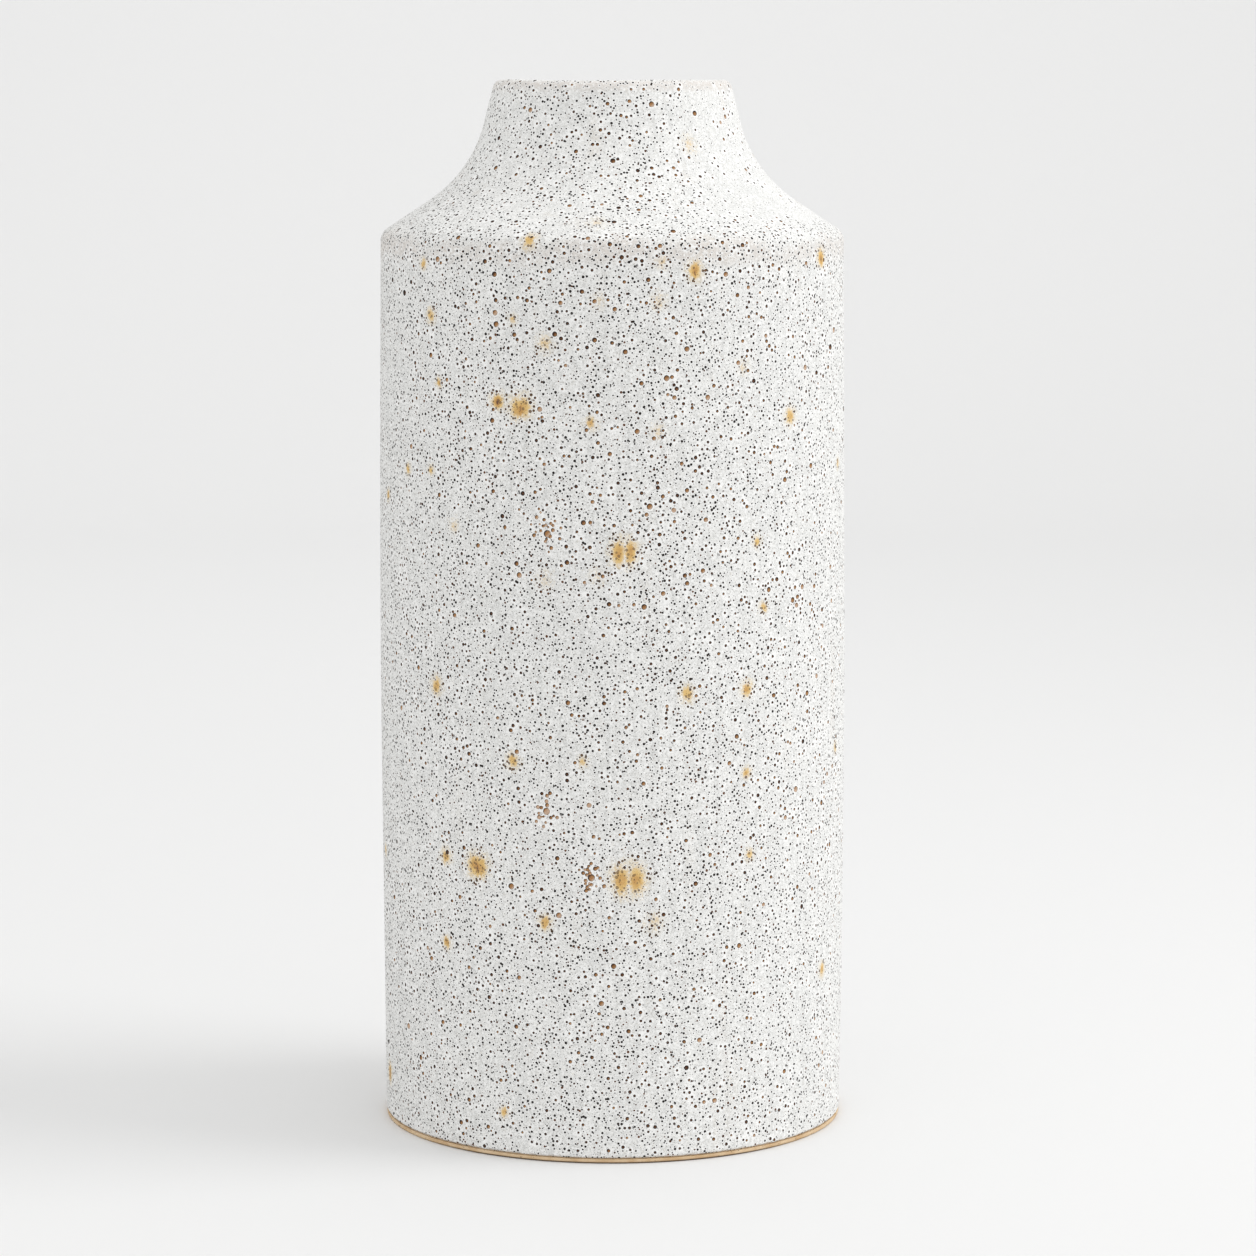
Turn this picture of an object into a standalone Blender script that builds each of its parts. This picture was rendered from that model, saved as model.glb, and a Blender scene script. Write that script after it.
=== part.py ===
"""Stoneware bottle vase, built up from clay sections and coated inside and out with glaze.

The wall is a stack of turned clay sections: a foot ring, a floor slab, two courses of
cylinder wall, a shoulder ring, a neck ring and a lip coil. Each section seats in a stepped
lap on the one below it. The outer glaze wraps the wall and the lip as one coat, and the
liner glaze coats the room inside. The origin is the middle of the foot, on the ground.
"""

import math

import bpy

# Driving dimensions, in millimetres and degrees.
HEIGHT = 457.0            # foot to top of lip
FOOT_RADIUS = 101.2       # outer radius where the glaze stops above the foot
BELLY_RADIUS = 102.3      # the cylinder swells by this little halfway up
SHOULDER_RADIUS = 100.9   # outer radius where the cylinder meets the shoulder
SHOULDER_HEIGHT = 390.8   # height of that edge, before it is rounded
SHOULDER_ROUNDING = 6.0
SHOULDER_SLOPE = 33.5     # shoulder cone above the level
NECK_SLOPE = 76.0         # neck cone above the level
NECK_SWEEP = 57.0         # radius of the hollow curve between shoulder and neck
LIP_RADIUS = 52.0         # outer radius of the neck just under the lip

GLAZE = 0.9               # thickness of either glaze coat
CLAY = 5.8                # thickness of the clay wall
GAP = 0.3                 # slip line between neighbouring pieces
GLAZE_LINE = 2.2          # the outer glaze is wiped off below this height
LINER_DROP = 14.0         # the outer glaze runs this far down inside the lip
POOL = 3.0                # liner glaze pools to this radius round the floor

FOOT_HEIGHT = 6.0
FOOT_WIDTH = 13.0         # standing ring, radially
FOOT_CHAMFER = 0.8
FLOOR = 8.0               # floor slab thickness
COURSE_JOINT = 196.0      # height of the joint between the two wall courses
SHOULDER_JOINT = 372.0
NECK_JOINT = 416.0
LIP_JOINT = 446.0
LAP = 7.0                 # height of the stepped laps

FACETS = 48               # sides of every turned piece, all in the same phase
SHOULDER_STEPS = 3
SWEEP_STEPS = 4
LIP_STEPS = 6
POOL_STEPS = 3
BODY_STEPS = 3

# Worked out from them.
WALL = 2 * GLAZE + 2 * GAP + CLAY
CLAY_OUT = GLAZE + GAP            # depth of the clay's outer face below the glaze surface
CLAY_IN = CLAY_OUT + CLAY         # depth of its inner face
LINER_BACK = CLAY_IN + GAP
LIP_HALF = WALL / 2               # the lip is a half round across the whole wall
LAP_DEPTH = (CLAY_OUT + CLAY_IN) / 2
SLAB_BASE = FOOT_HEIGHT + GAP
SLAB_TOP = SLAB_BASE + FLOOR
WALL_BASE = SLAB_TOP + GAP
ROOM_FLOOR = WALL_BASE + GLAZE

MM = 0.001
SHARP = math.radians(35)


def direction(slope):
    """Unit vector up a run that climbs inwards at this slope, as (radius, height)."""
    return (-math.cos(math.radians(slope)), math.sin(math.radians(slope)))


def inward(run):
    """Unit normal of a run that climbs, pointing into the wall."""
    return (-run[1], run[0])


def crossing(point_a, run_a, point_b, run_b):
    """Where two straight runs meet."""
    gap = (point_b[0] - point_a[0], point_b[1] - point_a[1])
    cross = run_a[0] * run_b[1] - run_a[1] * run_b[0]
    along = (gap[0] * run_b[1] - gap[1] * run_b[0]) / cross
    return (point_a[0] + along * run_a[0], point_a[1] + along * run_a[1])


def between(start, end):
    """Unit vector from one point to another."""
    length = math.dist(start, end)
    return ((end[0] - start[0]) / length, (end[1] - start[1]) / length)


def body_radius(height):
    """The cylinder's outer radius: straight from foot to shoulder, with a slow swell."""
    along = (height - GLAZE_LINE) / (SHOULDER_HEIGHT - GLAZE_LINE)
    chord = FOOT_RADIUS + (SHOULDER_RADIUS - FOOT_RADIUS) * along
    swell = BELLY_RADIUS - (FOOT_RADIUS + SHOULDER_RADIUS) / 2
    return chord + 4 * swell * along * (1 - along)


def corners():
    """Corners of the outside, from foot to lip, each with its rounding and its steps."""
    found = []
    for step in range(BODY_STEPS):
        height = GLAZE_LINE + (SHOULDER_HEIGHT - GLAZE_LINE) * step / BODY_STEPS
        found.append((body_radius(height), height, 0.0, 0))
    edge = (SHOULDER_RADIUS, SHOULDER_HEIGHT)
    under_lip = (LIP_RADIUS, HEIGHT - LIP_HALF)
    waist = crossing(edge, direction(SHOULDER_SLOPE), under_lip, direction(NECK_SLOPE))
    found.append((*edge, SHOULDER_ROUNDING, SHOULDER_STEPS))
    found.append((*waist, -NECK_SWEEP, SWEEP_STEPS))
    found.append((*under_lip, 0.0, 0))
    return found


CORNERS = corners()
TO_GLAZE_AXIS = inward(direction(NECK_SLOPE))
LIP_CENTRE = (LIP_RADIUS + LIP_HALF * TO_GLAZE_AXIS[0], HEIGHT - LIP_HALF)


def rounded(corner, before, after, rounding, steps):
    """Points of an arc that rounds a corner; a negative rounding bends the other way."""
    turn = math.acos(max(-1.0, min(1.0, before[0] * after[0] + before[1] * after[1])))
    setback = abs(rounding) * math.tan(turn / 2)
    start = (corner[0] - setback * before[0], corner[1] - setback * before[1])
    normal = inward(before)
    side = 1.0 if rounding > 0 else -1.0
    radius = abs(rounding)
    centre = (start[0] + side * radius * normal[0], start[1] + side * radius * normal[1])
    points = []
    for step in range(steps + 1):
        angle = turn * step / steps
        out = (-side * radius * normal[0], -side * radius * normal[1])
        cos, sin = math.cos(side * angle), math.sin(side * angle)
        points.append((centre[0] + out[0] * cos - out[1] * sin,
                       centre[1] + out[0] * sin + out[1] * cos))
    return points


def outline(depth):
    """The wall's line at a depth below the glaze surface, from foot to lip centre."""
    places = [(radius, height) for radius, height, _, _ in CORNERS]
    runs = [between(a, b) for a, b in zip(places, places[1:])]
    points = []
    for index, (radius, height, rounding, steps) in enumerate(CORNERS):
        before = runs[max(index - 1, 0)]
        after = runs[min(index, len(runs) - 1)]
        in_before, in_after = inward(before), inward(after)
        share = depth / (1 + in_before[0] * in_after[0] + in_before[1] * in_after[1])
        corner = (radius + share * (in_before[0] + in_after[0]),
                  height + share * (in_before[1] + in_after[1]))
        if steps == 0:
            points.append(corner)
        else:
            left = max(rounding - depth, 1.0) if rounding > 0 else rounding - depth
            points += rounded(corner, before, after, left, steps)
    nose = (LIP_CENTRE[0] - (LIP_HALF - depth) * TO_GLAZE_AXIS[0],
            LIP_CENTRE[1] - (LIP_HALF - depth) * TO_GLAZE_AXIS[1])
    return points[:-1] + [nose]


def radius_at(depth, height):
    """Radius of the wall's line at a depth and a height."""
    points = outline(depth)
    for low, high in zip(points, points[1:]):
        if height <= high[1] or high is points[-1]:
            along = (height - low[1]) / (high[1] - low[1])
            return low[0] + along * (high[0] - low[0])
    return points[-1][0]


def climb(depth, low, high):
    """The wall's line at a depth, between two heights, going up."""
    middle = [p for p in outline(depth) if low + 0.05 < p[1] < high - 0.05]
    return [(radius_at(depth, low), low), *middle, (radius_at(depth, high), high)]


def drop(depth, high, low):
    """The same line, going down."""
    return climb(depth, low, high)[::-1]


def lip_round(radius):
    """Half round over the lip, from inside to outside."""
    lean = math.atan2(-TO_GLAZE_AXIS[1], -TO_GLAZE_AXIS[0])
    points = []
    for step in range(LIP_STEPS + 1):
        angle = lean + math.pi * (1 - step / LIP_STEPS)
        points.append((LIP_CENTRE[0] + radius * math.cos(angle),
                       LIP_CENTRE[1] + radius * math.sin(angle)))
    return points


def section(low, high, spigot_below, rebate_above):
    """A clay section between two joints.

    Its spigot, the inner half of the wall, drops into the section below by a lap. The
    section above has such a spigot too, and the top of this one is cut back for it.
    """
    outer_low, outer_high = low + GAP / 2, high - GAP / 2
    inner_low = outer_low - (LAP if spigot_below else 0.0)
    inner_high = outer_high - (LAP if rebate_above else 0.0)
    points = drop(CLAY_OUT, outer_high, outer_low)
    if spigot_below:
        points += drop(LAP_DEPTH + GAP / 2, outer_low, inner_low)
    points += climb(CLAY_IN, inner_low, inner_high)
    if rebate_above:
        points += climb(LAP_DEPTH - GAP / 2, inner_high, outer_high)
    return points


def foot_profile():
    """Standing ring: bare below a ledge that stops the glaze, bevelled where it stands."""
    clay = FOOT_RADIUS - CLAY_OUT
    bare = FOOT_RADIUS - GAP
    inner = clay - FOOT_WIDTH
    ledge = GLAZE_LINE - GAP
    return [(clay, FOOT_HEIGHT), (clay, ledge), (bare, ledge), (bare, FOOT_CHAMFER),
            (bare - FOOT_CHAMFER, 0.0), (inner + FOOT_CHAMFER, 0.0),
            (inner, FOOT_CHAMFER), (inner, FOOT_HEIGHT)]


def floor_profile():
    """Floor slab: a plain disc on the foot ring, under the first course of wall."""
    edge = FOOT_RADIUS - CLAY_OUT
    return [(0.0, SLAB_TOP), (edge, SLAB_TOP), (edge, SLAB_BASE), (0.0, SLAB_BASE)]


def lip_profile():
    """Lip coil: a strip on top of the neck, rounded over."""
    low = LIP_JOINT + GAP / 2
    outside = (radius_at(CLAY_OUT, low), low)
    inside = (radius_at(CLAY_IN, low), low)
    return [outside, inside, *lip_round(LIP_HALF - CLAY_OUT)]


def outer_glaze_profile():
    """The outer coat, from the foot line over the lip to where the liner takes over."""
    inner_end = HEIGHT - LINER_DROP
    edge = (radius_at(0.0, GLAZE_LINE) - GLAZE / 2, GLAZE_LINE)
    back_edge = (radius_at(GLAZE, GLAZE_LINE), GLAZE_LINE)
    face = drop(0.0, LIP_CENTRE[1], GLAZE_LINE + GLAZE / 2)
    outer = lip_round(LIP_HALF) + face[1:] + [edge]
    back = climb(GLAZE, GLAZE_LINE + GLAZE / 2, LIP_CENTRE[1])[1:-1]
    over = lip_round(LIP_HALF - GLAZE)[::-1]
    inner_back = (radius_at(LINER_BACK, inner_end), inner_end)
    inner_face = (radius_at(WALL, inner_end), inner_end)
    return [inner_face, *outer, back_edge, *back, *over, inner_back]


def liner_profile():
    """The liner: it coats the floor, pools in the corner and climbs to the lip's glaze."""
    top = HEIGHT - LINER_DROP - GAP
    wall = radius_at(WALL, ROOM_FLOOR + POOL)
    pool = []
    for step in range(POOL_STEPS + 1):
        angle = math.pi / 2 * step / POOL_STEPS
        pool.append((wall - POOL + POOL * math.sin(angle),
                     ROOM_FLOOR + POOL - POOL * math.cos(angle)))
    face = climb(WALL, ROOM_FLOOR + POOL, top)[1:]
    back = drop(LINER_BACK, top, WALL_BASE)
    return [(0.0, ROOM_FLOOR), *pool, *face, *back, (0.0, WALL_BASE)]


def clay_material(name, colour, roughness):
    """A plain finish."""
    material = bpy.data.materials.new(name)
    material.use_nodes = True
    shader = material.node_tree.nodes["Principled BSDF"]
    shader.inputs["Base Color"].default_value = (*colour, 1.0)
    shader.inputs["Roughness"].default_value = roughness
    shader.inputs["Metallic"].default_value = 0.0
    return material


def turned(name, profile, material, collection):
    """A profile turned about the upright axis: a ring if closed, a disc if it ends on it."""
    on_axis = profile[0][0] == 0.0
    count = len(profile)
    edges = [(i, (i + 1) % count) for i in range(count - 1 if on_axis else count)]
    line = bpy.data.meshes.new(name)
    line.from_pydata([(r * MM, 0.0, h * MM) for r, h in profile], edges, [])
    piece = bpy.data.objects.new(name, line)
    collection.objects.link(piece)

    screw = piece.modifiers.new("Turn", "SCREW")
    screw.axis = "Z"
    screw.angle = 2 * math.pi
    screw.steps = screw.render_steps = FACETS
    screw.use_merge_vertices = True
    screw.merge_threshold = 0.00001
    screw.use_smooth_shade = True

    graph = bpy.context.evaluated_depsgraph_get()
    solid = bpy.data.meshes.new_from_object(piece.evaluated_get(graph))
    solid.name = name
    solid.shade_smooth()
    solid.set_sharp_from_angle(angle=SHARP)
    solid.materials.clear()
    solid.materials.append(material)
    piece.modifiers.clear()
    piece.data = solid
    bpy.data.meshes.remove(line)
    return piece


def build():
    for old in list(bpy.data.objects):
        bpy.data.objects.remove(old, do_unlink=True)
    vase = bpy.data.collections.new("stoneware_vase")
    bpy.context.scene.collection.children.link(vase)

    clay = clay_material("buff_stoneware", (0.62, 0.40, 0.22), 0.85)
    crater = clay_material("white_crater_glaze", (0.72, 0.73, 0.71), 0.75)
    satin = clay_material("satin_liner_glaze", (0.78, 0.77, 0.73), 0.35)

    pieces = [
        ("foot_ring", foot_profile(), clay),
        ("floor_slab", floor_profile(), clay),
        ("lower_wall", section(WALL_BASE - GAP / 2, COURSE_JOINT, False, True), clay),
        ("upper_wall", section(COURSE_JOINT, SHOULDER_JOINT, True, True), clay),
        ("shoulder_ring", section(SHOULDER_JOINT, NECK_JOINT, True, True), clay),
        ("neck_ring", section(NECK_JOINT, LIP_JOINT, True, False), clay),
        ("lip_coil", lip_profile(), clay),
        ("outer_glaze", outer_glaze_profile(), crater),
        ("liner_glaze", liner_profile(), satin),
    ]
    stand = bpy.data.objects.new("vase_stand_point", None)
    vase.objects.link(stand)
    for name, profile, material in pieces:
        turned(name, profile, material, vase).parent = stand


build()
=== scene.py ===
# %% [markdown]
# # A tall stoneware vase with a crater glaze
#
# The real vase is built up from clay sections and dipped in a thick white glaze that boils in
# the kiln. Bubbles burst through it and leave thousands of round pits, iron in the clay bleeds
# into ochre spots, and the wiped foot shows the bare clay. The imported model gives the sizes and
# the plain solids. This lesson grows the fine surface over them, then lights it softly.

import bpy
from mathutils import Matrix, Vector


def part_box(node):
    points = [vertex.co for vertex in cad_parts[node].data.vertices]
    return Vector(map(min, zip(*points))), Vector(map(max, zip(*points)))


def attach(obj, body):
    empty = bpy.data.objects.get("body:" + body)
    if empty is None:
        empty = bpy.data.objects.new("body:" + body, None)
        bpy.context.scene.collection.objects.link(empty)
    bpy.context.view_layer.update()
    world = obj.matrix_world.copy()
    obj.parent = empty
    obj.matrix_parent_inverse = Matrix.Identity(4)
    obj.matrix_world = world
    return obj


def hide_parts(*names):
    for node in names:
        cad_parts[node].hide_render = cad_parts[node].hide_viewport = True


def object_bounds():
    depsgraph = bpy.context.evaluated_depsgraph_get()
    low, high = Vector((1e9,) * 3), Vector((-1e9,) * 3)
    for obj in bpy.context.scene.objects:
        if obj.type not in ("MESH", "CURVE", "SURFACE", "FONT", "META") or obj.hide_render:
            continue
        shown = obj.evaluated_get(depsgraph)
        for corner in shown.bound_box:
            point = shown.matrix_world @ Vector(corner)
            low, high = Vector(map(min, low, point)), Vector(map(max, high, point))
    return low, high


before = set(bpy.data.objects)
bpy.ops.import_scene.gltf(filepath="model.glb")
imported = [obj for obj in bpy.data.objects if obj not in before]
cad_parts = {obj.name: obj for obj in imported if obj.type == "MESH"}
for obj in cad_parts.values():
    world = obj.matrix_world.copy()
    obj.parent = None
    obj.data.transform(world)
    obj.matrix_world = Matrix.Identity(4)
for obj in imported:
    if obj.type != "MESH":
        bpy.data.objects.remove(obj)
cad_low, cad_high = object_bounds()
print("packed pieces:", sorted(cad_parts))
print("packed box in mm:", [round(1000 * (b - a), 1) for a, b in zip(cad_low, cad_high)])

# %% Blender's modules
import math

import bpy
import numpy as np
from mathutils import Vector
from mathutils.geometry import delaunay_2d_cdt
from mathutils.kdtree import KDTree

# %% [markdown]
# ## The turned outline
#
# Everything on a turned pot hangs on one outline. Height, foot and glaze line come from the
# packed boxes; the rest are the vase's own driving sizes. Straight runs with rounded corners
# give a line that can be sampled as finely as each later step needs, which a mesh with a fixed
# number of points can't. Distances are in metres all through.

# %% Driving sizes
MM = 0.001
glaze_low, glaze_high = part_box("outer_glaze")
foot_low, foot_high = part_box("foot_ring")
liner_low, liner_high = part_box("liner_glaze")

HEIGHT = glaze_high.z
GLAZE_LINE = glaze_low.z
SLIP = 0.3 * MM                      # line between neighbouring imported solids
FOOT_RADIUS = foot_high.x + SLIP
BELLY_RADIUS = glaze_high.x
SHOULDER_RADIUS = 100.9 * MM
SHOULDER_HEIGHT = 390.8 * MM
SHOULDER_ROUNDING = 6 * MM
NECK_SWEEP = 57 * MM
LIP_RADIUS = 52 * MM
GLAZE = 0.9 * MM
CLAY_DEPTH = GLAZE + SLIP            # from the glaze's face to the clay
WALL = 2 * CLAY_DEPTH + 5.8 * MM
LIP_HALF = WALL / 2
LINER_TOP = liner_high.z + SLIP      # where the outer glaze ends inside the neck
EDGE_ROUNDING = 0.4 * MM
EDGE_DEPTH = 0.8 * CLAY_DEPTH        # how far the skin turns in at its two ends
SHOULDER_SLOPE = 33.5                # degrees above the level
NECK_SLOPE = 76


def run_up(slope):
    """Unit step up a run that climbs inwards at this slope, as (radius, height)."""
    return np.array((-math.cos(math.radians(slope)), math.sin(math.radians(slope))))


def outward(run):
    """The outward side of a run that climbs."""
    return np.array((run[1], -run[0]))


def crossing(a, run_a, b, run_b):
    """Where two straight runs meet."""
    along = np.linalg.solve(np.column_stack((run_a, -run_b)), b - a)[0]
    return a + along * run_a


shoulder_run = run_up(SHOULDER_SLOPE)
neck_run = run_up(NECK_SLOPE)
print("wall", round(WALL / MM, 2), "mm thick, glaze line at", round(GLAZE_LINE / MM, 2), "mm")

# %% Corners of the outline
shoulder_edge = np.array((SHOULDER_RADIUS, SHOULDER_HEIGHT))
under_lip = np.array((LIP_RADIUS, HEIGHT - LIP_HALF))
waist = crossing(shoulder_edge, shoulder_run, under_lip, neck_run)
lip_start = under_lip + LIP_HALF / math.tan(math.radians(NECK_SLOPE)) * neck_run
lip_outer = lip_start + LIP_HALF * neck_run
lip_inner = lip_outer - 2 * LIP_HALF * outward(neck_run)
inner_fall = (lip_inner[1] - LINER_TOP) / neck_run[1]
inner_end = lip_inner - inner_fall * neck_run

# Each corner: radius, height, rounding.
OUTLINE = [
    (FOOT_RADIUS - EDGE_DEPTH, GLAZE_LINE, 0.0),
    (FOOT_RADIUS, GLAZE_LINE, EDGE_ROUNDING),
    (*shoulder_edge, SHOULDER_ROUNDING),
    (*waist, NECK_SWEEP),
    (*lip_outer, LIP_HALF * 0.999),
    (*lip_inner, LIP_HALF * 0.999),
    (*inner_end, EDGE_ROUNDING),
    (inner_end[0] + EDGE_DEPTH, inner_end[1], 0.0),
]


def rounded_path(corners, step):
    """Points at about this step along straight runs with rounded corners."""
    places = np.array([corner[:2] for corner in corners])
    points = [places[0]]

    def run_to(end):
        start = points[-1]
        count = max(1, round(float(np.linalg.norm(end - start)) / step))
        points.extend(start + (end - start) * share for share in np.arange(1, count + 1) / count)

    for index in range(1, len(places) - 1):
        corner = places[index]
        into = (corner - places[index - 1]) / np.linalg.norm(corner - places[index - 1])
        out_of = (places[index + 1] - corner) / np.linalg.norm(places[index + 1] - corner)
        rounding = corners[index][2]
        turn = math.acos(float(np.clip(into @ out_of, -1, 1)))
        arc_start = corner - rounding * math.tan(turn / 2) * into
        inside = (out_of - into) / np.linalg.norm(out_of - into)
        centre = corner + inside * rounding / math.cos(turn / 2)
        run_to(arc_start)
        count = max(4, round(rounding * turn / step))
        for angle in turn * np.arange(1, count + 1) / count:
            points.append(centre + (arc_start - centre) * math.cos(angle)
                          + rounding * into * math.sin(angle))
    run_to(places[-1])
    return np.array(points)


OUTLINE_STEP = 0.25 * MM
path = rounded_path(OUTLINE, OUTLINE_STEP)
on_body = np.clip((path[:, 1] - GLAZE_LINE) / (SHOULDER_HEIGHT - GLAZE_LINE), 0, 1)
swell = BELLY_RADIUS - (FOOT_RADIUS + SHOULDER_RADIUS) / 2
path[:, 0] += 4 * swell * on_body * (1 - on_body)
print(len(path), "points on the outline, widest", round(path[:, 0].max() / MM, 2), "mm")

# %% [markdown]
# The outline becomes three smooth functions of the distance along it: radius, height and the
# direction it faces. A fourth, the turn distance, grows by distance over radius. Plotted against
# the angle round the pot it keeps every small shape undistorted, so a flat triangulation in that
# map stays a good one on the pot.

# %% Functions along the outline
steps = np.linalg.norm(np.diff(path, axis=0), axis=1)
along = np.concatenate(([0.0], np.cumsum(steps)))
LENGTH = along[-1]
tangent = np.gradient(path, along, axis=0)
tangent /= np.linalg.norm(tangent, axis=1)[:, None]
bend = np.linalg.norm(np.gradient(tangent, along, axis=0), axis=1)
turning = np.concatenate(([0.0], np.cumsum(2 * steps / (path[1:, 0] + path[:-1, 0]))))


def at(distance, column):
    """A column of numbers of the outline, read at distances along it."""
    return np.interp(distance, along, column)


def distance_at(height):
    """Distance along the outline up to a height, on the outer side."""
    top = int(path[:, 1].argmax())
    return np.interp(height, path[:top, 1] + 1e-9 * np.arange(top), along[:top])


def on_pot(angle, distance):
    """Places on the smooth pot, and the three directions there: out, round and up."""
    radius, height = at(distance, path[:, 0]), at(distance, path[:, 1])
    lean_r, lean_z = at(distance, tangent[:, 0]), at(distance, tangent[:, 1])
    sin, cos = np.sin(angle), np.cos(angle)
    place = np.stack((radius * sin, -radius * cos, height), axis=-1)
    out = np.stack((lean_z * sin, -lean_z * cos, -lean_r), axis=-1)
    around = np.stack((cos, sin, 0 * sin), axis=-1)
    up = np.stack((lean_r * sin, -lean_r * cos, lean_z), axis=-1)
    return place, out, around, up


AREA = 2 * math.pi * float(np.sum(steps * (path[1:, 0] + path[:-1, 0]) / 2))
print("outline", round(LENGTH / MM, 1), "mm long, glazed area", round(AREA * 1e4), "cm2")

# %% [markdown]
# ## Bursts, spots and crusts
#
# A crater glaze is three things at once: burst bubbles of every size, ochre spots where iron
# melted through, and crusts where bubbles ran together. The bigger bursts are cut into the mesh
# here, since they catch light and show on the outline; the finest pores are left to the finish.
# A seeded generator scatters them, so that every run gives the same pot.

# %% Listed places
SEED = 41
scatter = np.random.default_rng(SEED)

# Iron spots: angle from the front in degrees, height and size in mm, strength.
IRON_SPOTS = [
    (-20, 391, 4.0, 0.8), (-52, 380, 2.6, 0.8), (20, 378, 4.2, 0.9), (62, 382, 4.2, 0.9),
    (-49, 358, 3.6, 0.7), (-24, 358, 2.4, 0.6), (-16, 348, 4.2, 0.5), (-46, 330, 2.4, 0.8),
    (-28, 324, 3.8, 1.0), (-22, 322, 5.6, 1.0), (-5, 315, 3.2, 0.7), (48, 316, 4.0, 0.8),
    (-59, 292, 2.6, 0.8), (-49, 293, 2.4, 0.7), (-72, 279, 3.0, 0.9), (-41, 270, 3.2, 0.4),
    (3, 262, 6.0, 1.0), (37, 264, 2.6, 0.8), (39, 236, 2.8, 0.7), (-47, 201, 4.0, 0.9),
    (34, 202, 3.8, 0.8), (18, 201, 3.8, 0.8), (-24, 172, 3.6, 0.8), (-7, 173, 2.8, 0.6),
    (34, 166, 2.8, 0.7), (-44, 128, 3.6, 0.9), (-34, 126, 5.8, 1.0), (35, 130, 2.8, 0.7),
    (4, 123, 7.6, 1.0), (-16, 104, 3.4, 0.9), (10, 104, 4.6, 0.4), (-44, 90, 2.8, 1.0),
    (64, 72, 3.6, 0.8), (-76, 22, 4.6, 0.9), (-27, 20, 2.6, 0.8), (-78, 121, 2.8, 0.7),
    (72, 168, 2.8, 0.7), (74, 292, 2.8, 0.7), (34, 430, 4.4, 0.35), (-4, 398, 4.2, 0.35),
    (33, 338, 3.6, 0.35), (11, 366, 3.8, 0.4), (12, 382, 3.2, 0.4), (11, 312, 3.6, 0.35),
    (-3, 366, 3.4, 0.3), (-3, 252, 4.2, 0.3), (-16, 250, 4.2, 0.3),
]
# Crusts: angle, height, half size and how many bursts ran together.
CRUSTS = [(-5, 123, 5.0, 40), (-16, 152, 5.0, 26), (-15, 270, 5.6, 34)]
# Single bursts worth keeping in place, mostly the brown group on the neck: angle, height, radius.
LONE_BURSTS = [
    (-2, 447, 0.85), (8, 448, 0.85), (4, 442, 0.75), (-5, 436, 0.80), (-8, 430, 0.75),
    (-6, 430, 0.70), (-10, 446, 0.60), (-4, 417, 0.70), (9, 415, 0.75), (15, 435, 0.60),
    (-17, 418, 0.60), (24, 420, 0.85), (24, 417, 0.75), (22, 423, 0.65), (-29, 438, 0.60),
    (-27, 434, 0.60), (-38, 428, 0.55), (9, 453, 0.60), (15, 453, 0.65), (-13, 434, 0.55),
    (-4, 350, 1.05), (18, 346, 1.15), (-7, 370, 0.95), (-4, 366, 0.95), (7, 332, 0.95),
    (6, 312, 1.10), (10, 309, 0.90), (-30, 350, 0.80), (18, 287, 0.95), (-26, 271, 0.95),
    (-5, 274, 0.85), (-23, 256, 1.05), (22, 253, 1.00), (18, 248, 0.95), (3, 374, 0.75),
]
HIDDEN_SIDE = (95, 265)              # degrees; the far half gets its own chance places
FAR_SPOTS = 46
FAR_CRUSTS = 5

for _ in range(FAR_SPOTS):
    spot = (scatter.uniform(*HIDDEN_SIDE), scatter.uniform(12, 440),
            scatter.choice((2.6, 3.2, 4.0, 5.6)), scatter.uniform(0.35, 1.0))
    IRON_SPOTS.append(spot)
for _ in range(FAR_CRUSTS):
    CRUSTS.append((scatter.uniform(*HIDDEN_SIDE), scatter.uniform(60, 360),
                   scatter.uniform(4.2, 5.8), int(scatter.integers(22, 40))))
print(len(IRON_SPOTS), "iron spots,", len(CRUSTS), "crusts")

# %% [markdown]
# Chance places spread evenly over the area: a random distance along the outline is kept with a
# likelihood that follows the radius there. A slow wave over the pot makes some patches richer in
# bursts than others, as in a real kiln. Big bursts are placed first, and a later one may only
# just overlap an earlier one.

# %% Scatter the bursts
PATCH_WAVES = [(scatter.integers(1, 7), scatter.uniform(10, 60), scatter.uniform(0, 2 * math.pi))
               for _ in range(6)]


def richness(angle, distance):
    """How rich in bursts a place is, about 1 on average."""
    total = sum(np.cos(k * angle + w * distance + shift) for k, w, shift in PATCH_WAVES)
    return np.clip(1 + 0.16 * total, 0.35, 1.7)


def chance_places(count, low, high):
    """Even chance places between two distances along the outline."""
    tries = 6 * count
    angle = scatter.uniform(-math.pi, math.pi, tries)
    distance = scatter.uniform(low, high, tries)
    likely = at(distance, path[:, 0]) / BELLY_RADIUS * richness(angle, distance) / 1.7
    kept = scatter.uniform(0, 1, tries) < likely
    return angle[kept][:count], distance[kept][:count]


# Each size band: smallest and largest radius in mm, bursts for each square centimetre.
BURST_BANDS = [
    (1.05, 1.30, 0.04),
    (0.85, 1.05, 0.13),
    (0.65, 0.85, 0.60),
    (0.50, 0.65, 1.70),
]
FIRST_BURST = 2.0 * MM
LAST_BURST = LENGTH - 4.0 * MM

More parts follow.
